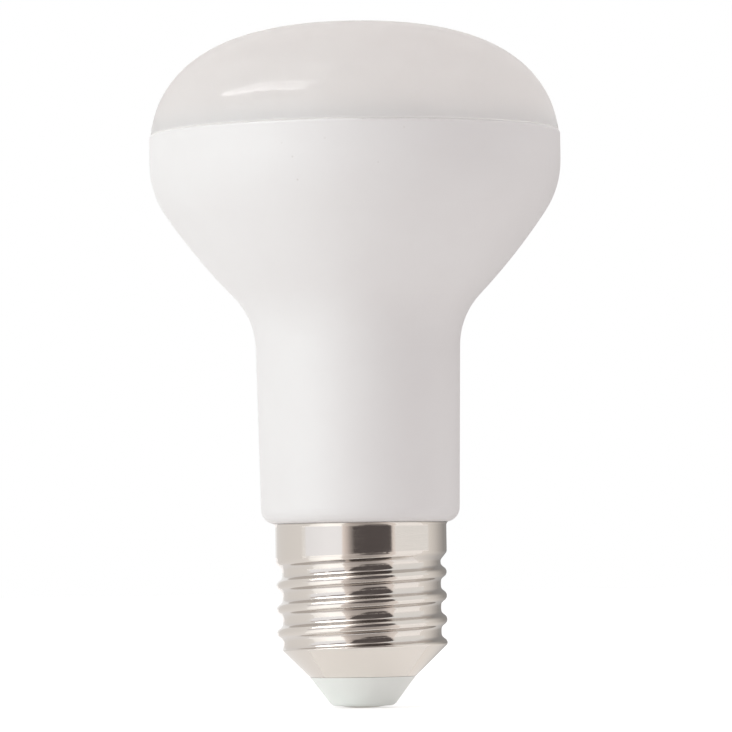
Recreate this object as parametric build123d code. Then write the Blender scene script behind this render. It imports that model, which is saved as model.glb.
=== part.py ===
from build123d import *
import os
from math import atan, ceil, cos, pi, radians, sin, sqrt, tan

# Reflector lamp on an Edison screw cap, in millimetres.
# The axis is Z. The origin is the tip of the centre contact, and +Z runs up to the crown of the diffuser.
# The lamp is closed for life and can't be seen into, so the diffuser and the housing stay solid inside.

# Head: the wide part of the housing, and the diffuser that closes it
head_diameter = 63.0        # widest ring, a plain upright band
crown_height = 21.3         # foot of the band up to the crown of the diffuser
crown_squareness = 2.55     # exponent of the crown's curve: 2 is an ellipse, more has a squarer shoulder
band_height = 4.4           # foot of the band up to the seam
rim_wall = 2.4              # wall of the housing round the diffuser's spigot
rim_round = 0.45            # rounding of the housing's edge at the seam
diffuser_round = 0.2        # rounding of the diffuser's edge at the seam
spigot_depth = 3.0          # how far the diffuser plugs into the housing
spigot_clearance = 0.1      # round the spigot and under it

# Flank: from the band down to the neck
shoulder_radius = 14.0      # convex rounding under the band
flank_angle = 44.0          # flank to the axis, in degrees, where it runs into the throat
flank_bulge = 10.0          # how much steeper the flank is, in degrees, where it leaves the shoulder
throat_radius = 11.5        # concave rounding between flank and neck

# Neck: it widens a little from the cap up to the throat
neck_length = 26.8
neck_overhang = 2.05        # how far the neck's foot stands out past the cap's collar
neck_taper = 0.5            # how much its radius grows up to the throat
foot_round = 2.2            # rounding of its lower edge

# Screw shell: rolled, nickel-plated, with a right-hand knuckle thread
cap_height = 28.2           # contact's tip up to the shell's rim
thread_diameter = 26.06     # over the crests
thread_depth = 0.91
thread_pitch = 3.629        # seven turns to the inch
thread_flank = 48.0         # flank of a ridge to the axis, in degrees
crest_round = 0.9           # rounding of the crests
crest_strip_count = 6       # straight strips that follow a crest's rounding
crest_height = 19.65        # a crest's height on the -Y side
collar_step = 0.07          # how far the smooth collar stands out past the crests
collar_length = 4.5         # its height under the flared rim
collar_drop = 1.2           # height of the sloped step from the collar to the thread's root
rim_flare = 0.25             # how far the rim stands out past the collar
rim_flare_height = 0.5
shell_wall = 0.8            # metal behind the thread's root
shell_clearance = 0.1       # between the shell and what sits in it
cone_angle = 45.8           # lower cone to the axis, in degrees
cone_end_diameter = 16.1    # where the metal ends at the insulator
cone_end_height = 4.7
cone_end_width = 0.85       # ring that the insulator's flange lies against

# Insulator and centre contact
contact_diameter = 7.2
contact_dome = 20.0         # radius of the domed face
contact_flat = 2.4          # diameter of the flat at the tip
contact_seat = 0.5          # how deep the contact's head sits in the insulator
contact_clearance = 0.05    # round its head and its rivet
insulator_land = 1.1        # width of the insulator's underside round the contact
insulator_round = 1.2       # rounding of its lower edge
rivet_diameter = 2.0
rivet_length = 4.0

# Worked out from the sizes above: the cap
thread_radius = thread_diameter / 2
root_radius = thread_radius - thread_depth
bore_radius = root_radius - shell_wall
collar_radius = thread_radius + collar_step
rim_radius = collar_radius + rim_flare
flare_foot = cap_height - rim_flare_height
collar_foot = flare_foot - collar_length
cone_slope = tan(radians(cone_angle))
cone_end_radius = cone_end_diameter / 2
cone_bore_radius = cone_end_radius - cone_end_width
bore_foot = cone_end_height + (bore_radius - cone_bore_radius) / cone_slope
contact_radius = contact_diameter / 2
flat_radius = contact_flat / 2
rivet_radius = rivet_diameter / 2
dome_centre = sqrt(contact_dome ** 2 - flat_radius ** 2)
contact_edge = dome_centre - sqrt(contact_dome ** 2 - contact_radius ** 2)
contact_top = contact_edge + contact_seat

# Worked out from the sizes above: the head
neck_foot_radius = collar_radius + neck_overhang
neck_top_radius = neck_foot_radius + neck_taper
head_radius = head_diameter / 2
spigot_radius = head_radius - rim_wall
throat_foot = cap_height + neck_length
foot_lean = radians(flank_angle)
top_lean = radians(flank_angle - flank_bulge)
throat_end_radius = neck_top_radius + throat_radius * (1 - cos(foot_lean))
throat_end = throat_foot + throat_radius * sin(foot_lean)
shoulder_end_radius = head_radius - shoulder_radius * (1 - cos(top_lean))
flank_radius = (shoulder_end_radius - throat_end_radius) / (cos(top_lean) - cos(foot_lean))
shoulder_end = throat_end + flank_radius * (sin(foot_lean) - sin(top_lean))
band_foot = shoulder_end + shoulder_radius * sin(top_lean)
seam = band_foot + band_height


def crown_point(turn):
    """Point of the crown's curve, at a turn from the level of the band's foot to the axis."""
    across = cos(turn) / head_radius
    up = sin(turn) / crown_height
    reach = (across ** crown_squareness + up ** crown_squareness) ** (-1 / crown_squareness)
    return reach * cos(turn), band_foot + reach * sin(turn)


def make_diffuser():
    """Opal dome with a spigot that plugs into the housing's rim."""
    edge_share = (band_height / crown_height) ** crown_squareness
    edge_radius = head_radius * (1 - edge_share) ** (1 / crown_squareness)
    first_turn = atan(band_height / edge_radius)
    span_count = 8
    span = (pi / 2 - first_turn) / span_count
    curve = [crown_point(first_turn + span * i) for i in range(span_count)]
    crown = (0, band_foot + crown_height)
    power = crown_squareness - 1
    inwards = (band_height / crown_height) ** power / crown_height
    upwards = (edge_radius / head_radius) ** power / head_radius
    plug_radius = spigot_radius - spigot_clearance
    plug_foot = seam - spigot_depth + spigot_clearance
    with BuildSketch(Plane.XZ) as section:
        with BuildLine():
            Spline(*curve, crown, tangents=[(-inwards, upwards), (-1, 0)])
            Polyline(crown, (0, plug_foot), (plug_radius, plug_foot), (plug_radius, seam), curve[0])
        make_face()
    dome = revolve(section.sketch, axis=Axis.Z)
    rim_edge = dome.edges().filter_by(GeomType.CIRCLE).sort_by(SortBy.RADIUS)[-1]
    return fillet(rim_edge, diffuser_round)


def make_housing():
    """White moulding: upright band, bulged flank, throat and tapered neck, with a socket and a spigot."""
    socket_floor = seam - spigot_depth
    plug_radius = bore_radius - shell_clearance
    plug_foot = bore_foot + shell_clearance
    with BuildSketch(Plane.XZ) as section:
        with BuildLine():
            Polyline(
                (0, socket_floor),
                (spigot_radius, socket_floor),
                (spigot_radius, seam),
                (head_radius, seam),
                (head_radius, band_foot),
            )
            RadiusArc((head_radius, band_foot), (shoulder_end_radius, shoulder_end), shoulder_radius)
            RadiusArc((shoulder_end_radius, shoulder_end), (throat_end_radius, throat_end), flank_radius)
            RadiusArc((throat_end_radius, throat_end), (neck_top_radius, throat_foot), -throat_radius)
            Polyline(
                (neck_top_radius, throat_foot),
                (neck_foot_radius, cap_height),
                (plug_radius, cap_height),
                (plug_radius, plug_foot),
                (0, plug_foot),
                (0, socket_floor),
            )
        make_face()
    body = revolve(section.sketch, axis=Axis.Z)
    rim_edge = body.edges().filter_by_position(Axis.Z, seam, seam).sort_by(SortBy.RADIUS)[-1]
    body = fillet(rim_edge, rim_round)
    foot_edge = body.edges().filter_by_position(Axis.Z, cap_height, cap_height).sort_by(SortBy.RADIUS)[-1]
    return fillet(foot_edge, foot_round)


def make_ridge():
    """The thread's ridge in half turns, from under the lower cone up into the collar."""
    lean = radians(thread_flank)
    foot_radius = root_radius - shell_wall / 4
    flank_depth = thread_radius - crest_round * (1 - cos(lean)) - foot_radius
    half_width = crest_round * sin(lean) + flank_depth / tan(lean)
    crest = []
    for i in range(crest_strip_count + 1):
        turn = lean * (2 * i / crest_strip_count - 1)
        crest.append((thread_radius - crest_round * (1 - cos(turn)), crest_round * sin(turn)))
    with BuildSketch(Plane.XZ) as section:
        with BuildLine():
            Polyline((foot_radius, -half_width), *crest, (foot_radius, half_width), close=True)
        make_face()
    rise = thread_pitch / 2
    path = Helix(pitch=thread_pitch, height=rise, radius=root_radius)
    half_turn = sweep(section.sketch, path=path, is_frenet=True)

    start = cone_end_height + (foot_radius - cone_end_radius) / cone_slope - half_width
    end = collar_foot + half_width
    turns_to_crest = (crest_height - start) / thread_pitch
    place = Pos(0, 0, start) * Rot(0, 0, 270 - 360 * turns_to_crest)
    half_turn_count = ceil((end - start) / rise)
    return [place * Pos(0, 0, rise * i) * Rot(0, 0, 180 * i) * half_turn for i in range(half_turn_count)]


def make_screw_shell():
    """Shell with a flared rim, a smooth collar, the thread and a lower cone, open at both ends."""
    flare_radius = (rim_flare_height ** 2 + rim_flare ** 2) / (2 * rim_flare)
    with BuildSketch(Plane.XZ) as section:
        with BuildLine():
            RadiusArc((rim_radius, cap_height), (collar_radius, flare_foot), -flare_radius)
            Polyline(
                (collar_radius, flare_foot),
                (collar_radius, collar_foot),
                (root_radius, collar_foot - collar_drop),
                (root_radius, cone_end_height),
                (0, cone_end_height),
                (0, cap_height),
                (rim_radius, cap_height),
            )
        make_face()
    core = revolve(section.sketch, axis=Axis.Z)

    limit_radius = rim_radius + rim_flare
    limit_height = cone_end_height + (limit_radius - cone_end_radius) / cone_slope
    with BuildSketch(Plane.XZ) as section:
        with BuildLine():
            Polyline(
                (0, cone_end_height),
                (cone_end_radius, cone_end_height),
                (limit_radius, limit_height),
                (limit_radius, cap_height),
                (0, cap_height),
                close=True,
            )
        make_face()
    limit = revolve(section.sketch, axis=Axis.Z)

    with BuildSketch(Plane.XZ) as section:
        with BuildLine():
            Polyline(
                (0, cone_end_height),
                (cone_bore_radius, cone_end_height),
                (bore_radius, bore_foot),
                (bore_radius, cap_height),
                (0, cap_height),
                close=True,
            )
        make_face()
    bore = revolve(section.sketch, axis=Axis.Z)
    threaded = core.fuse(*make_ridge())
    return (threaded & limit) - bore


def make_insulator():
    """Pale tip: a flange under the shell's end, a cone down to the contact and a plug inside the shell."""
    plug_foot_radius = cone_bore_radius - shell_clearance
    plug_top = bore_foot - shell_clearance
    plug_top_radius = plug_foot_radius + (plug_top - cone_end_height) * cone_slope
    seat_radius = contact_radius + contact_clearance
    hole_radius = rivet_radius + contact_clearance
    hole_top = contact_top + rivet_length + contact_clearance
    underside_radius = seat_radius + insulator_land
    with BuildSketch(Plane.XZ) as section:
        with BuildLine():
            Polyline(
                (0, hole_top),
                (hole_radius, hole_top),
                (hole_radius, contact_top),
                (seat_radius, contact_top),
                (seat_radius, contact_edge),
                (underside_radius, contact_edge),
                (cone_end_radius, cone_end_height),
                (plug_foot_radius, cone_end_height),
                (plug_top_radius, plug_top),
                (0, plug_top),
                close=True,
            )
        make_face()
    tip = revolve(section.sketch, axis=Axis.Z)
    lower_edge = tip.edges().filter_by_position(Axis.Z, contact_edge, contact_edge).sort_by(SortBy.RADIUS)[-1]
    return fillet(lower_edge, insulator_round)


def make_centre_contact():
    """Domed metal contact with a flat tip, and the rivet that holds it in the insulator."""
    with BuildSketch(Plane.XZ) as section:
        with BuildLine():
            RadiusArc((flat_radius, 0), (contact_radius, contact_edge), -contact_dome)
            Polyline(
                (contact_radius, contact_edge),
                (contact_radius, contact_top),
                (rivet_radius, contact_top),
                (rivet_radius, contact_top + rivet_length),
                (0, contact_top + rivet_length),
                (0, 0),
                (flat_radius, 0),
            )
        make_face()
    return revolve(section.sketch, axis=Axis.Z)


os.makedirs("parts", exist_ok=True)
export_step(make_diffuser(), "parts/diffuser.step")
export_step(make_housing(), "parts/housing.step")
export_step(make_screw_shell(), "parts/screw_shell.step")
export_step(make_insulator(), "parts/insulator.step")
export_step(make_centre_contact(), "parts/centre_contact.step")
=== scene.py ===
"""Looks of a reflector lamp: housing, opal diffuser, plated screw shell, insulator and contact."""

import math

import bpy
from mathutils import Matrix, Vector


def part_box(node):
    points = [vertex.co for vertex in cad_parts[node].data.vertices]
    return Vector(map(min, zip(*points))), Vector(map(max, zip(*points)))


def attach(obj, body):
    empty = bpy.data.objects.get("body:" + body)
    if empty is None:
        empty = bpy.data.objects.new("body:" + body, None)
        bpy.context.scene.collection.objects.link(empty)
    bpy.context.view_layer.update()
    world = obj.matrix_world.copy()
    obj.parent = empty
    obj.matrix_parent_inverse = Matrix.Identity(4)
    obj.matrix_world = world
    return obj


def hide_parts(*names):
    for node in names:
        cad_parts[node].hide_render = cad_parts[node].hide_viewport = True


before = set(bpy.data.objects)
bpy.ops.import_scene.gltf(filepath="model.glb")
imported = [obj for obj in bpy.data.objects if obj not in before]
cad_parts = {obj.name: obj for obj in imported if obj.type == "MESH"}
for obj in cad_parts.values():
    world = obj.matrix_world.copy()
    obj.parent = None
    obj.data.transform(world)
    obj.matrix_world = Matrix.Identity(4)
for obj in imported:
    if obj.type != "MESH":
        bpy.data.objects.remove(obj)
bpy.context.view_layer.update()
SHELL_LOW, SHELL_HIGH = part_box("screw_shell")
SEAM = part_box("housing")[1].z

bl_info = {
    "name": "Reflector lamp",
    "version": (1, 0, 0),
    "blender": (4, 5, 0),
    "location": "View3D > Sidebar > Lamp",
    "description": "Dresses the solids of a reflector lamp and sets the studio around it",
    "category": "Object",
}

MM = 0.001


class HousingSettings(bpy.types.PropertyGroup):
    white: bpy.props.StringProperty(
        name="White",
        description="Colour of the moulded housing, as sRGB hex",
        default="EAE8E7",
    )
    shade: bpy.props.StringProperty(
        name="Shade",
        description="Slightly darker white of the flow marks in the moulding, as sRGB hex",
        default="E6E3E2",
    )
    pit: bpy.props.StringProperty(
        name="Pit",
        description="Colour of the dust in the few small pits, as sRGB hex",
        default="D6D2CE",
    )
    pit_size: bpy.props.FloatProperty(
        name="Pit size",
        description="Radius of a small pit in the moulded face",
        default=0.2 * MM,
        unit="LENGTH",
    )
    flow: bpy.props.FloatProperty(
        name="Flow marks",
        description="Size of the faint clouds that the flowing plastic left",
        default=9.0 * MM,
        unit="LENGTH",
    )
    grain: bpy.props.FloatProperty(
        name="Grain",
        description="Width of the spark-eroded grain, drawn coarser than real so that it shows",
        default=0.45 * MM,
        unit="LENGTH",
    )
    roughness: bpy.props.FloatProperty(
        name="Roughness",
        description="Roughness of the matt surface",
        default=0.5,
        min=0.0,
        max=1.0,
        subtype="FACTOR",
    )


class DiffuserSettings(bpy.types.PropertyGroup):
    opal: bpy.props.StringProperty(
        name="Opal",
        description="Colour of the opal diffuser, as sRGB hex",
        default="FDFCFB",
    )
    cloud: bpy.props.StringProperty(
        name="Cloud",
        description="Slightly darker clouds in the opal plastic, as sRGB hex",
        default="FBF9F8",
    )
    cloud_size: bpy.props.FloatProperty(
        name="Cloud size",
        description="Size of the clouds in the opal plastic",
        default=14.0 * MM,
        unit="LENGTH",
    )
    translucency: bpy.props.FloatProperty(
        name="Translucency",
        description="Share of the light that goes on through the opal plastic and lights it from inside",
        default=0.72,
        min=0.0,
        max=1.0,
        subtype="FACTOR",
    )
    rim_translucency: bpy.props.FloatProperty(
        name="Rim translucency",
        description="The same share at the diffuser's thick rim",
        default=0.55,
        min=0.0,
        max=1.0,
        subtype="FACTOR",
    )
    rim_height: bpy.props.FloatProperty(
        name="Rim height",
        description="Height over which the plastic thickens towards the seam",
        default=4.0 * MM,
        unit="LENGTH",
    )
    lip_translucency: bpy.props.FloatProperty(
        name="Lip translucency",
        description="The same share at the thin lip that lies on the housing",
        default=0.95,
        min=0.0,
        max=1.0,
        subtype="FACTOR",
    )
    lip_height: bpy.props.FloatProperty(
        name="Lip height",
        description="Height of the thin lip above the seam",
        default=0.4 * MM,
        unit="LENGTH",
    )
    roughness: bpy.props.FloatProperty(
        name="Roughness",
        description="Roughness of the semi-gloss surface",
        default=0.06,
        min=0.0,
        max=1.0,
        subtype="FACTOR",
    )


class ShellSettings(bpy.types.PropertyGroup):
    nickel: bpy.props.StringProperty(
        name="Nickel",
        description="Colour of the bright nickel plate, as sRGB hex",
        default="D6D0C9",
    )
    # Painted shade: the lower flanks of the ridges take this darker colour, for the thin lines of shade
    # along both sides of every ridge
    painted_flank_shade: bpy.props.StringProperty(
        name="Tarnish",
        description="Duller colour of the plate along the ridges' feet, as sRGB hex",
        default="D1CCC7",
    )
    # Painted shade: this darker colour at the top of the rim's flare stands in for the shadow in the gap
    # under the neck
    painted_rim_shade: bpy.props.StringProperty(
        name="Grime",
        description="Colour of the dull edge of the rim under the neck, as sRGB hex",
        default="9A958F",
    )
    roughness: bpy.props.FloatProperty(
        name="Roughness",
        description="Roughness of the bright plate",
        default=0.09,
        min=0.0,
        max=1.0,
        subtype="FACTOR",
    )
    thread_diameter: bpy.props.FloatProperty(
        name="Thread diameter",
        description="Diameter over the crests of the thread",
        default=26.06 * MM,
        unit="LENGTH",
    )
    thread_depth: bpy.props.FloatProperty(
        name="Thread depth",
        description="Crest to root, across the radius",
        default=0.91 * MM,
        unit="LENGTH",
    )
    thread_pitch: bpy.props.FloatProperty(
        name="Thread pitch",
        description="Rise of the ridge in one turn, seven turns to the inch",
        default=3.629 * MM,
        unit="LENGTH",
    )
    thread_flank: bpy.props.FloatProperty(
        name="Thread flank",
        description="Angle of a ridge's flank to the axis",
        default=math.radians(52.0),
        subtype="ANGLE",
    )
    crest_round: bpy.props.FloatProperty(
        name="Crest rounding",
        description="Radius of a ridge's crest",
        default=0.8 * MM,
        unit="LENGTH",
    )
    crest_height: bpy.props.FloatProperty(
        name="Crest height",
        description="Height of a crest on the front of the lamp",
        default=19.65 * MM,
        unit="LENGTH",
    )
    valley_round: bpy.props.FloatProperty(
        name="Valley rounding",
        description="Radius of the shallow hollow that the roller leaves between two ridges",
        default=4.0 * MM,
        unit="LENGTH",
    )
    flank_run: bpy.props.FloatProperty(
        name="Flank run-out",
        description="Width over which a ridge's flank runs out into the valley",
        default=0.3 * MM,
        unit="LENGTH",
    )
    edge_round: bpy.props.FloatProperty(
        name="Edge rounding",
        description="Width of the soft bend at the collar's and the cone's edges",
        default=0.2 * MM,
        unit="LENGTH",
    )
    collar_diameter: bpy.props.FloatProperty(
        name="Collar diameter",
        description="Diameter of the smooth collar above the thread",
        default=26.2 * MM,
        unit="LENGTH",
    )
    collar_length: bpy.props.FloatProperty(
        name="Collar length",
        description="Height of the smooth collar under the flared rim",
        default=4.5 * MM,
        unit="LENGTH",
    )
    collar_drop: bpy.props.FloatProperty(
        name="Collar drop",
        description="Height of the sloped step from the collar to the thread's root",
        default=1.2 * MM,
        unit="LENGTH",
    )
    rim_flare_height: bpy.props.FloatProperty(
        name="Rim flare height",
        description="Height over which the rim flares out",
        default=0.5 * MM,
        unit="LENGTH",
    )
    collar_slant: bpy.props.FloatProperty(
        name="Collar slant",
        description="How much the collar's lower edge rises or falls along the first turn of the thread",
        default=0.4 * MM,
        unit="LENGTH",
    )
    cone_angle: bpy.props.FloatProperty(
        name="Cone angle",
        description="Angle of the lower cone to the axis",
        default=math.radians(45.8),
        subtype="ANGLE",
    )
    cone_end_diameter: bpy.props.FloatProperty(
        name="Cone end diameter",
        description="Diameter where the metal ends at the insulator",
        default=16.1 * MM,
        unit="LENGTH",
    )
    cone_end_round: bpy.props.FloatProperty(
        name="Cone end rounding",
        description="Rounding of the metal's edge at the insulator",
        default=0.12 * MM,
        unit="LENGTH",
    )
    bore_diameter: bpy.props.FloatProperty(
        name="Bore diameter",
        description="Inside of the shell, hidden by the housing's spigot",
        default=22.64 * MM,
        unit="LENGTH",
    )
    cone_end_width: bpy.props.FloatProperty(
        name="Cone end width",
        description="Width of the ring that the insulator's flange lies against",
        default=0.85 * MM,
        unit="LENGTH",
    )


class TipSettings(bpy.types.PropertyGroup):
    insulator: bpy.props.StringProperty(
        name="Insulator",
        description="Cool white of the insulator, as sRGB hex",
        default="F4F6F2",
    )
    insulator_shade: bpy.props.StringProperty(
        name="Insulator shade",
        description="Slightly darker clouds in the insulator, as sRGB hex",
        default="EFF1ED",
    )
    contact: bpy.props.StringProperty(
        name="Contact",
        description="Colour of the tinned centre contact, as sRGB hex",
        default="C8C5BE",
    )
    contact_dull: bpy.props.StringProperty(
        name="Dull contact",
        description="Colour of the contact where its tin has dulled, as sRGB hex",
        default="B4B0A8",
    )


class StageSettings(bpy.types.PropertyGroup):
    distance: bpy.props.FloatProperty(
        name="Camera distance",
        description="From the lamp's axis to the camera",
        default=0.88,
        unit="LENGTH",
    )
    height: bpy.props.FloatProperty(
        name="Camera height",
        description="Height of the camera above the floor",
        default=20.0 * MM,
        unit="LENGTH",
    )
    aim: bpy.props.FloatVectorProperty(
        name="Aim",
        description="Point of the lamp's axis plane at the centre of the picture",
        default=(1.2 * MM, 0.0, 52.2 * MM),
        subtype="XYZ",
        unit="LENGTH",
    )
    roll: bpy.props.FloatProperty(
        name="Camera roll",
        description="Lean of the lamp in the picture",
        default=math.radians(-0.9),
        subtype="ANGLE",
    )
    lens: bpy.props.FloatProperty(
        name="Lens",
        description="Focal length in millimetres",
        default=282.9,
    )
    room: bpy.props.StringProperty(
        name="Room light colour",
        description="Colour of the even light from all sides, as sRGB hex",
        default="FFFBFC",
    )
    room_strength: bpy.props.FloatProperty(
        name="Room light",
        description="Strength of the even light from all sides",
        default=0.39,
        min=0.0,
    )
    ceiling_strength: bpy.props.FloatProperty(
        name="Ceiling light",
        description="Strength of the even light from straight above",
        default=1.0,
        min=0.0,
    )
    key_power: bpy.props.FloatProperty(
        name="Key light",
        description="Power of the large soft light on the left, in watts",
        default=2.8,
        min=0.0,
    )
    key_colour: bpy.props.StringProperty(
        name="Key colour",
        description="Colour of the large soft light on the left, as sRGB hex",
        default="F3FFFE",
    )
    key_azimuth: bpy.props.FloatProperty(
        name="Key azimuth",
        description="Direction of the key light, from the camera towards the right",
        default=math.radians(-62),
        subtype="ANGLE",
    )
    rim_power: bpy.props.FloatProperty(
        name="Rim light",
        description="Power of the weak soft light from behind on the right, in watts",
        default=0.6,
        min=0.0,
    )
    paper: bpy.props.StringProperty(
        name="Paper",
        description="Colour of the studio paper on the floor, as sRGB hex",
        default="EEEDEC",
    )


def linear(hex_colour):
    """Linear RGBA of an sRGB hex colour."""
    parts = [int(hex_colour[i:i + 2], 16) / 255 for i in (0, 2, 4)]
    rgb = [c / 12.92 if c <= 0.04045 else ((c + 0.055) / 1.055) ** 2.4 for c in parts]
    return (*rgb, 1.0)


def add_node(tree, kind, sockets=(), links=(), **settings):
    """Adds a node with its settings, its sockets' values and the links that end in its sockets."""
    node = tree.nodes.new(kind)
    for name, value in settings.items():
        setattr(node, name, value)
    for name, value in dict(sockets).items():
        node.inputs[name].default_value = value
    for name, source in dict(links).items():
        tree.links.new(source, node.inputs[name])
    return node


def new_material(name):
    """An empty node material, with its tree and the object's own coordinates."""
    material = bpy.data.materials.new(name)
    material.use_nodes = True
    tree = material.node_tree
    tree.nodes.clear()
    return material, tree, add_node(tree, "ShaderNodeTexCoord").outputs["Object"]


def end_material(tree, shader):
    """Ends a material's tree in its output."""
    add_node(tree, "ShaderNodeOutputMaterial", links={"Surface": shader.outputs[0]})


def dress(node_name, material):
    """Gives a CAD node's object its material."""
    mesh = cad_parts[node_name].data
    mesh.materials.clear()
    mesh.materials.append(material)


# Small pits in the housing's front, as they are on this lamp, each with how much of it shows
PITS = (
    (Vector((-9.25, -30.06, 82.3)) * MM, 0.6),
    (Vector((-8.55, -29.53, 78.9)) * MM, 0.7),
    (Vector((7.35, -30.63, 86.4)) * MM, 0.35),
    (Vector((3.45, -31.13, 81.2)) * MM, 0.35),
    (Vector((-4.4, -31.19, 84.9)) * MM, 0.35),
    (Vector((-10.8, -29.59, 84.4)) * MM, 0.25),
)


class LAMP_OT_housing(bpy.types.Operator):
    """Finish the housing as matt white moulded plastic"""

    bl_idname = "lamp.housing"
    bl_label = "Housing"

    def execute(self, context):
        s = context.scene.lamp_housing
        # White PBT from a spark-eroded mould: matt, with a fine grain, faint flow marks and a few pits
        material, tree, place = new_material("moulded_white_pbt")
        flow = add_node(
            tree, "ShaderNodeTexNoise", {"Scale": 1 / s.flow, "Detail": 3.0}, {"Vector": place}
        )
        white = add_node(
            tree,
            "ShaderNodeMix",
            {"A": linear(s.white), "B": linear(s.shade)},
            {"Factor": flow.outputs["Fac"]},
            data_type="RGBA",
        )
        pitted = None
        for pit, depth in PITS:
            away = add_node(
                tree, "ShaderNodeVectorMath", {1: pit}, {0: place}, operation="DISTANCE"
            )
            inside = add_node(
                tree,
                "ShaderNodeMapRange",
                {"From Min": s.pit_size, "From Max": s.pit_size / 2, "To Max": depth},
                {"Value": away.outputs["Value"]},
                interpolation_type="SMOOTHSTEP",
            )
            if pitted is None:
                pitted = inside.outputs["Result"]
            else:
                both = add_node(
                    tree,
                    "ShaderNodeMath",
                    {},
                    {0: pitted, 1: inside.outputs["Result"]},
                    operation="MAXIMUM",
                )
                pitted = both.outputs["Value"]
        colour = add_node(
            tree,
            "ShaderNodeMix",
            {"B": linear(s.pit)},
            {"Factor": pitted, "A": white.outputs["Result"]},
            data_type="RGBA",
        )
        grain = add_node(
            tree, "ShaderNodeTexNoise", {"Scale": 1 / s.grain, "Detail": 2.0}, {"Vector": place}
        )
        gloss_spread = 0.05
        gloss = add_node(
            tree,
            "ShaderNodeMapRange",
            {"To Min": s.roughness - gloss_spread, "To Max": s.roughness + gloss_spread},
            {"Value": grain.outputs["Fac"]},
        )
        sunk = add_node(
            tree, "ShaderNodeMath", {}, {0: grain.outputs["Fac"], 1: pitted}, operation="SUBTRACT"
        )
        grain_depth = 0.05 * MM
        bump = add_node(
            tree,
            "ShaderNodeBump",
            {"Strength": 0.08, "Distance": grain_depth},
            {"Height": sunk.outputs["Value"]},
        )
        surface = add_node(
            tree,
            "ShaderNodeBsdfPrincipled",
            {"IOR": 1.5},
            {
                "Base Color": colour.outputs["Result"],
                "Roughness": gloss.outputs["Result"],
                "Normal": bump.outputs["Normal"],
            },
        )
        end_material(tree, surface)
        dress("housing", material)
        return {"FINISHED"}


class LAMP_OT_diffuser(bpy.types.Operator):
    """Finish the diffuser as semi-gloss opal plastic"""

    bl_idname = "lamp.diffuser"
    bl_label = "Diffuser"

    def execute(self, context):
        s = context.scene.lamp_diffuser
        # Opal polycarbonate from a polished mould: light passes through, so its shading is soft and even
        material, tree, place = new_material("opal_polycarbonate")
        cloud = add_node(
            tree, "ShaderNodeTexNoise", {"Scale": 1 / s.cloud_size, "Detail": 2.0}, {"Vector": place}
        )
        colour = add_node(
            tree,
            "ShaderNodeMix",
            {"A": linear(s.opal), "B": linear(s.cloud)},
            {"Factor": cloud.outputs["Fac"]},
            data_type="RGBA",
        )
        smoother = 0.02
        rougher = 0.03
        gloss = add_node(
            tree,
            "ShaderNodeMapRange",
            {"To Min": s.roughness - smoother, "To Max": s.roughness + rougher},
            {"Value": cloud.outputs["Fac"]},
        )
        surface = add_node(
            tree,
            "ShaderNodeBsdfPrincipled",
            {"IOR": 1.58},
            {"Base Color": colour.outputs["Result"], "Roughness": gloss.outputs["Result"]},
        )
        inner_glow = add_node(
            tree, "ShaderNodeBsdfTranslucent", {}, {"Color": colour.outputs["Result"]}
        )
        height = add_node(tree, "ShaderNodeSeparateXYZ", {}, {"Vector": place})
        body = add_node(
            tree,
            "ShaderNodeMapRange",
            {
                "From Min": SEAM,
                "From Max": SEAM + s.rim_height,
                "To Min": s.rim_translucency,
                "To Max": s.translucency,
            },
            {"Value": height.outputs["Z"]},
            interpolation_type="SMOOTHSTEP",
        )
        # The thin lip lets the most light out, which keeps the seam's line faint
        lip = add_node(
            tree,
            "ShaderNodeMapRange",
            {
                "From Min": SEAM,
                "From Max": SEAM + s.lip_height,
                "To Min": s.lip_translucency,
                "To Max": 0.0,
            },
            {"Value": height.outputs["Z"]},
        )
        through = add_node(
            tree,
            "ShaderNodeMath",
            {},
            {0: body.outputs["Result"], 1: lip.outputs["Result"]},
            operation="MAXIMUM",
        )
        opal = add_node(
            tree,
            "ShaderNodeMixShader",
            {},
            {
                "Fac": through.outputs["Value"],
                1: surface.outputs["BSDF"],
                2: inner_glow.outputs["BSDF"],
            },
        )
        end_material(tree, opal)
        dress("diffuser", material)
        return {"FINISHED"}


def soft_max(a, b, width):
    """The larger of two radii, with a soft bend of this width where they meet."""
    near = max(width - abs(a - b), 0.0)
    return max(a, b) + near * near / (4 * width)


def soft_min(a, b, width):
    """The smaller of two radii, with a soft bend of this width where they meet."""
    return -soft_max(-a, -b, width)


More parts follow.
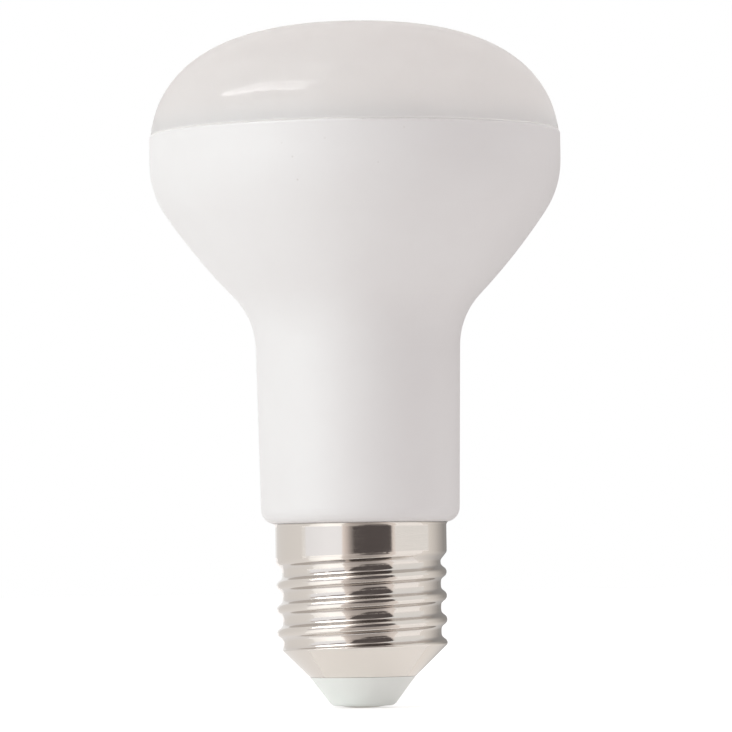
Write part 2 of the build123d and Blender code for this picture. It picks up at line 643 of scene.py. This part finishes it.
def shell_radius(s, turn, height):
    """Outer radius of the screw shell at a turn about the axis and a height."""
    rim_radius = SHELL_HIGH.x
    collar_radius = s.collar_diameter / 2
    thread_radius = s.thread_diameter / 2
    root_radius = thread_radius - s.thread_depth
    flare_foot = SHELL_HIGH.z - s.rim_flare_height
    collar_foot = flare_foot - s.collar_length + s.collar_slant * math.cos(turn)
    above_end = height - SHELL_LOW.z
    cone = s.cone_end_diameter / 2 + above_end * math.tan(s.cone_angle)
    if above_end < s.cone_end_round:
        short = s.cone_end_round - above_end
        cone -= s.cone_end_round - math.sqrt(s.cone_end_round ** 2 - short ** 2)

    # The front is three quarters of a turn round from +X
    front_turn = 0.75
    from_crest = height - s.crest_height - s.thread_pitch * (turn / math.tau - front_turn)
    across = abs((from_crest / s.thread_pitch + 0.5) % 1.0 - 0.5) * s.thread_pitch
    from_valley = s.thread_pitch / 2 - across
    valley = root_radius + from_valley ** 2 / (2 * s.valley_round)
    crest_half = s.crest_round * math.sin(s.thread_flank)
    if across < crest_half:
        ridge = thread_radius - s.crest_round + math.sqrt(s.crest_round ** 2 - across ** 2)
    else:
        crest_drop = s.crest_round * (1 - math.cos(s.thread_flank))
        ridge = thread_radius - crest_drop - (across - crest_half) * math.tan(s.thread_flank)
        valley = min(valley, thread_radius - crest_drop)
    thread = soft_max(valley, ridge, s.flank_run) - max(height - collar_foot, 0.0)

    flare = rim_radius - collar_radius
    if height > flare_foot:
        flare_round = (s.rim_flare_height ** 2 + flare ** 2) / (2 * flare)
        body = collar_radius + flare_round - math.sqrt(flare_round ** 2 - (height - flare_foot) ** 2)
    else:
        steepness = (collar_radius - root_radius) / s.collar_drop
        slope = collar_radius + (height - collar_foot) * steepness
        body = soft_min(slope, collar_radius, s.edge_round)
    return soft_min(soft_max(body, thread, s.edge_round), cone, s.edge_round)


def shell_rows(s):
    """Heights of the shell's mesh rows, close together along the thread and at the metal's end."""
    fine = 0.06 * MM
    coarse = 0.15 * MM
    thread_top = SHELL_HIGH.z - s.rim_flare_height - s.collar_length + s.edge_round
    cone_rise = (s.thread_diameter - s.cone_end_diameter) / 2 / math.tan(s.cone_angle)
    thread_foot = SHELL_LOW.z + cone_rise - s.thread_depth
    end_count = 4
    rows = [SHELL_LOW.z + s.cone_end_round * i / end_count for i in range(end_count + 1)]
    while rows[-1] < SHELL_HIGH.z - coarse:
        in_thread = thread_foot < rows[-1] < thread_top
        rows.append(rows[-1] + (fine if in_thread else coarse))
    return rows + [SHELL_HIGH.z]


class LAMP_OT_screw_shell(bpy.types.Operator):
    """Roll the screw shell as one smooth plated surface"""

    bl_idname = "lamp.screw_shell"
    bl_label = "Screw shell"

    def execute(self, context):
        s = context.scene.lamp_shell
        columns = 240
        heights = shell_rows(s)
        bore = s.bore_diameter / 2
        cone_bore = s.cone_end_diameter / 2 - s.cone_end_width
        bore_foot = SHELL_LOW.z + (bore - cone_bore) / math.tan(s.cone_angle)
        inside = [(bore, SHELL_HIGH.z), (bore, bore_foot), (cone_bore, SHELL_LOW.z)]
        points = []
        for i in range(columns):
            turn = math.tau * i / columns
            loop = [(shell_radius(s, turn, h), h) for h in heights] + inside
            points.extend((r * math.cos(turn), r * math.sin(turn), h) for r, h in loop)
        ring = len(heights) + len(inside)
        faces = []
        for i in range(columns):
            here = i * ring
            there = (i + 1) % columns * ring
            for j in range(ring):
                k = (j + 1) % ring
                faces.append((here + j, there + j, there + k, here + k))
        mesh = bpy.data.meshes.new("rolled_screw_shell")
        mesh.from_pydata(points, [], faces)
        mesh.shade_smooth()
        sharp_bend = math.radians(60)
        mesh.set_sharp_from_angle(angle=sharp_bend)
        shell = bpy.data.objects.new("rolled_screw_shell", mesh)
        context.scene.collection.objects.link(shell)
        mesh.materials.append(nickel_plate(s))
        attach(shell, "root")
        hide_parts("screw_shell")
        return {"FINISHED"}


def nickel_plate(s):
    """Bright nickel on rolled brass: a warm grey mirror with fine roller lines and a little grit."""
    material, tree, place = new_material("bright_nickel_plate")
    radial = add_node(
        tree, "ShaderNodeVectorMath", {1: (1.0, 1.0, 0.0)}, {0: place}, operation="MULTIPLY"
    )
    radius = add_node(
        tree, "ShaderNodeVectorMath", {}, {0: radial.outputs["Vector"]}, operation="LENGTH"
    )
    crest = s.thread_diameter / 2
    root = crest - s.thread_depth
    outwards = add_node(
        tree,
        "ShaderNodeMapRange",
        {"From Min": root, "From Max": SHELL_HIGH.x},
        {"Value": radius.outputs["Value"]},
    )
    # The plate's colour by radius: nickel, with painted shade on the ridges' lower flanks and at the top
    # of the rim's flare
    plate = add_node(tree, "ShaderNodeValToRGB", {}, {"Fac": outwards.outputs["Result"]})
    stops = plate.color_ramp.elements
    stops[0].color = linear(s.nickel)
    # Painted shade: from just above the collar the flare darkens towards its outer edge, for the shadow
    # under the neck
    stops[1].color = linear(s.painted_rim_shade)
    reach = SHELL_HIGH.x - root
    ridge_foot = 0.12 * MM
    ridge_side = 0.5 * MM
    ridge_top = 0.75 * MM
    flare_start = 0.06 * MM
    rim_foot = s.collar_diameter / 2 + flare_start - root
    # Painted shade on the lower flank of each ridge, between its foot and halfway up
    stops.new(ridge_foot / reach).color = linear(s.painted_flank_shade)
    stops.new(ridge_side / reach).color = linear(s.painted_flank_shade)
    stops.new(ridge_top / reach).color = linear(s.nickel)
    stops.new(rim_foot / reach).color = linear(s.nickel)
    # Below the thread, on the cone, the plate stays plain nickel without the painted shade
    height = add_node(tree, "ShaderNodeSeparateXYZ", {}, {"Vector": place})
    thread_foot = SHELL_LOW.z + (crest - s.cone_end_diameter / 2) / math.tan(s.cone_angle)
    below = add_node(
        tree,
        "ShaderNodeMapRange",
        {"From Min": thread_foot, "From Max": thread_foot - s.thread_depth},
        {"Value": height.outputs["Z"]},
    )
    colour = add_node(
        tree,
        "ShaderNodeMix",
        {"B": linear(s.nickel)},
        {"A": plate.outputs["Color"], "Factor": below.outputs["Result"]},
        data_type="RGBA",
    )
    # The roller's lines and the grit are finer than this on the real shell
    line_length = 3.0 * MM
    line_width = 0.25 * MM
    stretched = add_node(
        tree,
        "ShaderNodeVectorMath",
        {1: (1.0, 1.0, line_length / line_width)},
        {0: place},
        operation="MULTIPLY",
    )
    lines = add_node(
        tree,
        "ShaderNodeTexNoise",
        {"Scale": 1 / line_length, "Detail": 3.0},
        {"Vector": stretched.outputs["Vector"]},
    )
    smoother = 0.02
    rougher = 0.04
    gloss = add_node(
        tree,
        "ShaderNodeMapRange",
        {
            "From Min": 0.3,
            "From Max": 0.7,
            "To Min": s.roughness - smoother,
            "To Max": s.roughness + rougher,
        },
        {"Value": lines.outputs["Fac"]},
    )
    grit_size = 0.2 * MM
    grit = add_node(
        tree, "ShaderNodeTexNoise", {"Scale": 1 / grit_size, "Detail": 1.0}, {"Vector": place}
    )
    grit_depth = 0.02 * MM
    bump = add_node(
        tree,
        "ShaderNodeBump",
        {"Strength": 0.05, "Distance": grit_depth},
        {"Height": grit.outputs["Fac"]},
    )
    surface = add_node(
        tree,
        "ShaderNodeBsdfPrincipled",
        {"Metallic": 1.0},
        {
            "Base Color": colour.outputs["Result"],
            "Roughness": gloss.outputs["Result"],
            "Normal": bump.outputs["Normal"],
        },
    )
    end_material(tree, surface)
    return material


class LAMP_OT_tip(bpy.types.Operator):
    """Finish the insulator and the centre contact"""

    bl_idname = "lamp.tip"
    bl_label = "Insulator and contact"

    def execute(self, context):
        s = context.scene.lamp_tip
        # Cool white PBT, smooth from the mould: a soft sheen and faint clouds
        material, tree, place = new_material("moulded_insulator_pbt")
        cloud_size = 3.0 * MM
        cloud = add_node(
            tree, "ShaderNodeTexNoise", {"Scale": 1 / cloud_size, "Detail": 2.0}, {"Vector": place}
        )
        colour = add_node(
            tree,
            "ShaderNodeMix",
            {"A": linear(s.insulator), "B": linear(s.insulator_shade)},
            {"Factor": cloud.outputs["Fac"]},
            data_type="RGBA",
        )
        gloss = add_node(
            tree,
            "ShaderNodeMapRange",
            {"To Min": 0.3, "To Max": 0.42},
            {"Value": cloud.outputs["Fac"]},
        )
        surface = add_node(
            tree,
            "ShaderNodeBsdfPrincipled",
            {"IOR": 1.5},
            {"Base Color": colour.outputs["Result"], "Roughness": gloss.outputs["Result"]},
        )
        end_material(tree, surface)
        dress("insulator", material)

        # Tinned brass, pressed and turned: a dull grey metal with fine rings round its centre
        material, tree, place = new_material("tinned_brass")
        ring_width = 0.25 * MM
        rings = add_node(
            tree,
            "ShaderNodeTexWave",
            {"Scale": 0.5 / ring_width / math.tau, "Distortion": 1.5, "Detail": 2.0},
            {"Vector": place},
            wave_type="RINGS",
            rings_direction="Z",
        )
        dull_size = 1.5 * MM
        dull = add_node(
            tree, "ShaderNodeTexNoise", {"Scale": 1 / dull_size, "Detail": 3.0}, {"Vector": place}
        )
        colour = add_node(
            tree,
            "ShaderNodeMix",
            {"A": linear(s.contact), "B": linear(s.contact_dull)},
            {"Factor": dull.outputs["Fac"]},
            data_type="RGBA",
        )
        gloss = add_node(
            tree,
            "ShaderNodeMapRange",
            {"To Min": 0.28, "To Max": 0.42},
            {"Value": dull.outputs["Fac"]},
        )
        ring_depth = 0.02 * MM
        bump = add_node(
            tree,
            "ShaderNodeBump",
            {"Strength": 0.1, "Distance": ring_depth},
            {"Height": rings.outputs["Fac"]},
        )
        surface = add_node(
            tree,
            "ShaderNodeBsdfPrincipled",
            {"Metallic": 1.0},
            {
                "Base Color": colour.outputs["Result"],
                "Roughness": gloss.outputs["Result"],
                "Normal": bump.outputs["Normal"],
            },
        )
        end_material(tree, surface)
        dress("centre_contact", material)
        return {"FINISHED"}


def seen_rays(tree):
    """Factor that is 1 for what the eye sees: directly, in a mirror or through glass."""
    path = add_node(tree, "ShaderNodeLightPath")
    mirrored = add_node(
        tree,
        "ShaderNodeMath",
        {},
        {0: path.outputs["Is Camera Ray"], 1: path.outputs["Is Glossy Ray"]},
        operation="MAXIMUM",
    )
    seen = add_node(
        tree,
        "ShaderNodeMath",
        {},
        {0: mirrored.outputs["Value"], 1: path.outputs["Is Transmission Ray"]},
        operation="MAXIMUM",
    )
    return seen.outputs["Value"]


def studio_direction(azimuth, elevation):
    """Direction in the studio, in degrees: azimuth 0 is the camera's side and grows to the right."""
    turn = math.radians(azimuth)
    rise = math.radians(elevation)
    return Vector((math.sin(turn) * math.cos(rise), -math.cos(turn) * math.cos(rise), math.sin(rise)))


def card_columns(low, high, strengths):
    """Columns of a card between two elevations, from pairs of an azimuth and a strength."""
    return [(azimuth, low, high, strength, strength) for azimuth, strength in strengths]


def studio_card(scene, name, columns, centre, distance, colour):
    """A card that only shows in reflections.

    Each column is an azimuth, the elevations of its two ends and the strengths there.
    """
    row_count = 12
    # Where cards meet the floor, the nearer one lies on top
    furthest = 1.5
    off_floor = (furthest - distance) * MM
    points = []
    strengths = []
    for azimuth, low, high, low_strength, high_strength in columns:
        for i in range(row_count + 1):
            elevation = low + (high - low) * i / row_count
            reach = studio_direction(azimuth, elevation) * distance
            if centre.z + reach.z < off_floor:
                reach *= (off_floor - centre.z) / reach.z
            points.append(centre + reach)
            strengths.append(low_strength + (high_strength - low_strength) * i / row_count)
    faces = []
    for i in range(len(columns) - 1):
        for j in range(row_count):
            here = i * (row_count + 1) + j
            there = here + row_count + 1
            faces.append((here, there, there + 1, here + 1))
    mesh = bpy.data.meshes.new(name)
    mesh.from_pydata(points, [], faces)
    mesh.attributes.new("strength", "FLOAT", "POINT").data.foreach_set("value", strengths)
    card = bpy.data.objects.new(name, mesh)
    scene.collection.objects.link(card)
    card.visible_camera = False
    card.visible_diffuse = False
    card.visible_shadow = False
    material, tree, _ = new_material(name)
    strength = add_node(tree, "ShaderNodeAttribute", attribute_name="strength")
    glow = add_node(
        tree, "ShaderNodeEmission", {"Color": linear(colour)}, {"Strength": strength.outputs["Fac"]}
    )
    end_material(tree, glow)
    mesh.materials.append(material)


class LAMP_OT_stage(bpy.types.Operator):
    """Set the white studio, its lights and the camera"""

    bl_idname = "lamp.stage"
    bl_label = "Stage"

    def execute(self, context):
        s = context.scene.lamp_stage
        scene = context.scene
        scene.view_settings.view_transform = "Standard"
        self.set_world(scene, s)
        self.set_floor(scene, s)
        key_azimuth = math.degrees(s.key_azimuth)
        key = self.set_softbox(scene, "key_softbox", s.key_power, key_azimuth, elevation=9)
        key.color = linear(s.key_colour)[:3]
        self.set_softbox(scene, "rim_softbox", s.rim_power, azimuth=118, elevation=58)
        self.set_cards(scene)
        self.set_camera(scene, s)
        return {"FINISHED"}

    def set_world(self, scene, s):
        world = bpy.data.worlds.new("white_studio")
        scene.world = world
        world.use_nodes = True
        tree = world.node_tree
        tree.nodes.clear()
        direction = add_node(tree, "ShaderNodeTexCoord")
        upwards = add_node(tree, "ShaderNodeSeparateXYZ", {}, {"Vector": direction.outputs["Generated"]})
        strength = add_node(
            tree,
            "ShaderNodeMapRange",
            {"To Min": s.room_strength, "To Max": s.ceiling_strength},
            {"Value": upwards.outputs["Z"]},
        )
        room = add_node(
            tree,
            "ShaderNodeBackground",
            {"Color": linear(s.room)},
            {"Strength": strength.outputs["Result"]},
        )
        white = add_node(tree, "ShaderNodeBackground", {"Color": (1, 1, 1, 1), "Strength": 1.0})
        both = add_node(
            tree,
            "ShaderNodeMixShader",
            {},
            {"Fac": seen_rays(tree), 1: room.outputs["Background"], 2: white.outputs["Background"]},
        )
        add_node(tree, "ShaderNodeOutputWorld", {}, {"Surface": both.outputs["Shader"]})

    def set_floor(self, scene, s):
        reach = 6.0
        mesh = bpy.data.meshes.new("studio_floor")
        corners = [(-reach, -reach, 0), (reach, -reach, 0), (reach, reach, 0), (-reach, reach, 0)]
        mesh.from_pydata(corners, [], [(0, 1, 2, 3)])
        floor = bpy.data.objects.new("studio_floor", mesh)
        scene.collection.objects.link(floor)
        material, tree, _ = new_material("white_studio_paper")
        unseen_glow = 0.07
        seen_glow = 0.42
        lift = add_node(
            tree,
            "ShaderNodeMapRange",
            {"To Min": unseen_glow, "To Max": seen_glow},
            {"Value": seen_rays(tree)},
        )
        paper = add_node(
            tree,
            "ShaderNodeBsdfPrincipled",
            {"Base Color": linear(s.paper), "Roughness": 0.9, "Emission Color": (1, 1, 1, 1)},
            {"Emission Strength": lift.outputs["Result"]},
        )
        end_material(tree, paper)
        mesh.materials.append(material)

    def set_softbox(self, scene, name, power, azimuth, elevation):
        light = bpy.data.lights.new(name, "AREA")
        light.shape = "RECTANGLE"
        light.size = 0.5
        light.size_y = 0.4
        light.energy = power
        softbox = bpy.data.objects.new(name, light)
        distance = 0.92
        aim = Vector((0, 0, 0.06))
        softbox.location = aim + studio_direction(azimuth, elevation) * distance
        softbox.rotation_euler = (aim - softbox.location).to_track_quat("-Z", "Y").to_euler()
        softbox.visible_glossy = False
        softbox.visible_camera = False
        scene.collection.objects.link(softbox)
        return light

    def set_cards(self, scene):
        cap = Vector((0, 0, 0.02))
        head = Vector((0, 0, 0.09))
        # What the bright plate mirrors: softboxes and their light on the floor, on the left
        softbox = card_columns(-2, 27, [(-80, 1.17), (-46, 1.27), (-17, 1.25)])
        studio_card(scene, "mirrored_softbox", softbox, cap, distance=1.4, colour="F7F9FF")
        overhead = card_columns(27, 78, [(-82, 1.5), (-52, 2.0), (-17, 1.9)])
        studio_card(scene, "mirrored_overhead", overhead, cap, distance=1.4, colour="FFFFFF")
        bounce = card_columns(-42, -3, [(-76, 1.2), (-46, 1.6), (-17, 1.5)])
        studio_card(scene, "mirrored_floor_bounce", bounce, cap, distance=1.39, colour="FFFFFF")
        gap = card_columns(9, 19, [(-82, 0.7), (-50, 0.45), (-20, 0.2)])
        studio_card(scene, "softbox_gap", gap, cap, distance=1.38, colour="FFF4F0")

        # The camera's side is dim, with a dark middle that is pointed on the left and blunt on the right
        dim = [(-24, 1.0), (-13, 0.62), (0, 0.5), (14, 0.48), (26, 0.58), (38, 0.92), (46, 1.0)]
        dim_side = card_columns(-1, 84, dim)
        studio_card(scene, "dim_camera_side", dim_side, cap, distance=0.75, colour="FFF6F2")
        dim_floor = card_columns(-49, -1, dim)
        studio_card(scene, "dim_camera_floor", dim_floor, cap, distance=0.75, colour="FFF6F2")
        left, right = -20, 46
        bottom, middle, top = -14, 14, 48
        point_length = 35
        point_bulge = 0.77
        blunt_start = 28
        blunt_rise = 26
        blunt_drop = 10
        dark = 0.11
        step_count = 30
        dark_side = []
        for i in range(step_count + 1):
            azimuth = left + (right - left) * i / step_count
            spread = (top - middle) * ((azimuth - left) / point_length) ** point_bulge
            blunt = max((azimuth - blunt_start) / (right - blunt_start), 0) ** 2
            low = max(middle - spread, bottom + blunt_rise * blunt)
            high = min(middle + spread, top - blunt_drop * blunt)
            dark_side.append((azimuth, low, high, dark, dark))
        studio_card(scene, "dark_camera_side", dark_side, cap, distance=0.7, colour="FFF0F0")
        dark_edge = card_columns(-3, 4, [(-25, 1.1), (-19, 0.75), (-13, 0.35), (-9, 0.16)])
        studio_card(scene, "dark_side_edge", dark_edge, cap, distance=0.71, colour="FFF4F0")
        glint = card_columns(12, 17, [(7, 0.2), (16, 0.2)])
        studio_card(scene, "camera_glint", glint, cap, distance=0.69, colour="FFF4F0")

        # The walls at the sides are greyer, and the floor in front of them with them
        open_floor = 1.04
        right_wall = [(176, 0.28), (140, 0.38), (124, 0.58), (112, 0.77), (98, 0.95)]
        left_wall = [(-150, 0.87), (-112, 0.92), (-82, 0.96)]
        walls = (("right", right_wall, 88, "FFFBF8"), ("left", left_wall, -70, "FFFDFC"))
        wall_distance = 0.12
        for name, wall, open_side, colour in walls:
            sides = card_columns(-2, 40, wall)
            studio_card(scene, name + "_wall", sides, cap, wall_distance, colour)
            fading = wall + [(open_side, open_floor)]
            ground = [(azimuth, -66, -2, open_floor, strength) for azimuth, strength in fading]
            studio_card(scene, name + "_wall_floor", ground, cap, wall_distance, colour)

        # The strip light that shines on the diffuser, brighter along its lower edge
        strip = [
            (-94, 34, 38),
            (-86, 34.5, 44),
            (-76, 39, 50),
            (-64, 43, 54),
            (-50, 45, 56),
            (-35, 46, 57),
        ]
        strip_strength = 7.0
        edge_strength = 11.0
        edge_height = 3
        glow = []
        edge = []
        for azimuth, low, high in strip:
            glow.append((azimuth, low, high, strip_strength, strip_strength))
            edge.append((azimuth, low, low + edge_height, edge_strength, edge_strength))
        studio_card(scene, "strip_light", glow, head, distance=1.2, colour="FFFFFF")
        studio_card(scene, "strip_light_edge", edge, head, distance=1.19, colour="FFFFFF")

    def set_camera(self, scene, s):
        lens = bpy.data.cameras.new("camera")
        lens.lens = s.lens
        lens.sensor_width = 36.0
        lens.clip_end = 20.0
        camera = bpy.data.objects.new("camera", lens)
        spot = Vector((0.0, -s.distance, s.height))
        look = (Vector(s.aim) - spot).to_track_quat("-Z", "Y").to_matrix().to_4x4()
        camera.matrix_world = Matrix.Translation(spot) @ look @ Matrix.Rotation(s.roll, 4, "Z")
        scene.collection.objects.link(camera)
        scene.camera = camera


class LAMP_PT_panel(bpy.types.Panel):
    bl_idname = "LAMP_PT_panel"
    bl_label = "Reflector lamp"
    bl_space_type = "VIEW_3D"
    bl_region_type = "UI"
    bl_category = "Lamp"

    def draw(self, context):
        for operator in PIECES:
            self.layout.operator(operator.bl_idname)


SETTINGS = {
    "lamp_housing": HousingSettings,
    "lamp_diffuser": DiffuserSettings,
    "lamp_shell": ShellSettings,
    "lamp_tip": TipSettings,
    "lamp_stage": StageSettings,
}
PIECES = (LAMP_OT_housing, LAMP_OT_diffuser, LAMP_OT_screw_shell, LAMP_OT_tip, LAMP_OT_stage)


def register():
    for name, group in SETTINGS.items():
        bpy.utils.register_class(group)
        setattr(bpy.types.Scene, name, bpy.props.PointerProperty(type=group))
    for piece in PIECES:
        bpy.utils.register_class(piece)
    bpy.utils.register_class(LAMP_PT_panel)


def unregister():
    bpy.utils.unregister_class(LAMP_PT_panel)
    for piece in reversed(PIECES):
        bpy.utils.unregister_class(piece)
    for name, group in SETTINGS.items():
        delattr(bpy.types.Scene, name)
        bpy.utils.unregister_class(group)


def main():
    register()
    bpy.ops.lamp.housing()
    bpy.ops.lamp.diffuser()
    bpy.ops.lamp.screw_shell()
    bpy.ops.lamp.tip()
    bpy.ops.lamp.stage()


if __name__ == "__main__":
    main()
